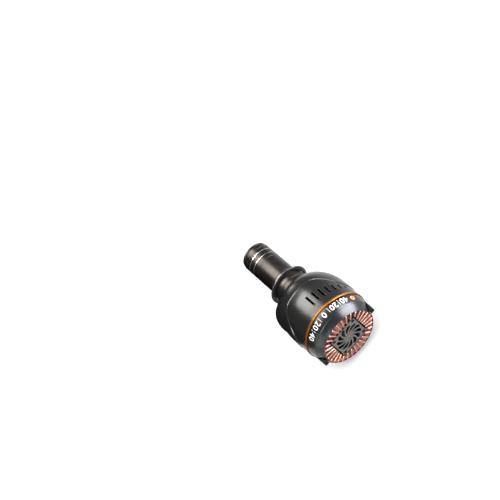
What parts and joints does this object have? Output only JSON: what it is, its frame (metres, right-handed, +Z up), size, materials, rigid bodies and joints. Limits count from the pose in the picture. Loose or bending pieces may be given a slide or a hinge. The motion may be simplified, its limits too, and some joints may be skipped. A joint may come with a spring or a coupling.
{
  "type": "cooled astronomy camera",
  "caption": "Cooled deep-sky imaging camera on its nosepiece, with a finned heat sink and fan at the rear, a slotted barrel and a two-leaf shutter in front of the sensor.",
  "frame": {"origin": "centre of the nosepiece's front rim, on the optical axis", "axes": "+Y along the optical axis, out of the nosepiece; +Z up, through the middle of the barrel's marked side; +X to the right, seen from the rear"},
  "size_m": [0.1057, 0.208, 0.104],
  "materials": {
    "charcoal_shell": "satin charcoal paint",
    "graphite_shell": "satin graphite paint",
    "orange_anodised": "bright orange anodising",
    "gunmetal": "turned gunmetal anodising",
    "black_anodised": "black anodising",
    "copper": "bare copper",
    "nickel": "satin nickel",
    "steel": "machined",
    "brass": "sintered brass",
    "bare_aluminium": "machined",
    "gloss_black": "moulded gloss black",
    "black_plastic": "moulded matt black",
    "black_rubber": "moulded seal",
    "circuit_board": "solder mask",
    "white_ceramic": "ground ceramic",
    "dark_ceramic": "fired ceramic",
    "silicon": "polished silicon",
    "glass": "coated optical glass"
  },
  "bodies": {
    "camera_body": {"rear_shell": "charcoal_shell", "trim_ring": "orange_anodised", "front_shell": "graphite_shell", "front_cap": "graphite_shell", "neck": "gunmetal", "neck_gasket": "black_rubber", "neck_screw_1": "steel", "neck_screw_2": "steel", "neck_screw_3": "steel", "lip_ring": "black_anodised", "nosepiece_tube": "gunmetal", "heat_sink": "copper", "fan_cover": "nickel", "fan_frame": "black_plastic", "fan_stator": "copper", "fan_bearing": "brass", "fan_screw_1": "steel", "fan_screw_2": "steel", "fan_screw_3": "steel", "fan_screw_4": "steel", "side_lug_right": "gloss_black", "lug_screw_right": "steel", "side_lug_left": "gloss_black", "lug_screw_left": "steel", "hot_block": "bare_aluminium", "peltier_module": "white_ceramic", "cold_finger": "bare_aluminium", "chamber_housing": "black_anodised", "chamber_window": "glass", "window_seal": "black_rubber", "sensor_package": "dark_ceramic", "sensor_die": "silicon", "sensor_cover_glass": "glass", "sensor_board": "circuit_board", "desiccant_capsule": "white_ceramic", "shutter_plate": "black_anodised", "shutter_actuator": "black_plastic", "shutter_pin": "steel", "power_board": "circuit_board", "main_board": "circuit_board", "frame_rod_1": "steel", "frame_rod_2": "steel", "frame_rod_3": "steel", "frame_rod_4": "steel", "usb_socket": "steel", "power_socket": "black_plastic", "power_socket_nut": "steel"},
    "fan_impeller": {"fan_rotor": "black_plastic", "fan_shaft": "steel"},
    "shutter_left": {"shutter_leaf_left": "black_plastic"},
    "shutter_right": {"shutter_leaf_right": "black_plastic"}
  },
  "joints": [
    {"name": "fan_spin", "type": "hinge", "parent": "camera_body", "child": "fan_impeller", "pos_m": [0, -0.202, 0], "axis": [0, 1, 0], "continuous": true},
    {"name": "shutter_left_swing", "type": "hinge", "parent": "camera_body", "child": "shutter_left", "pos_m": [-0.0045, -0.115, 0.033], "axis": [0, 1, 0], "range_deg": [0, 28], "stiffness_Nm_per_rad": 0.002},
    {"name": "shutter_right_swing", "type": "hinge", "parent": "camera_body", "child": "shutter_right", "pos_m": [0.0045, -0.115, 0.033], "axis": [0, 1, 0], "range_deg": [-28, 0]}
  ],
  "couplings": [
    {"joint": "shutter_right_swing", "follows": "shutter_left_swing", "ratio": -1}
  ]
}
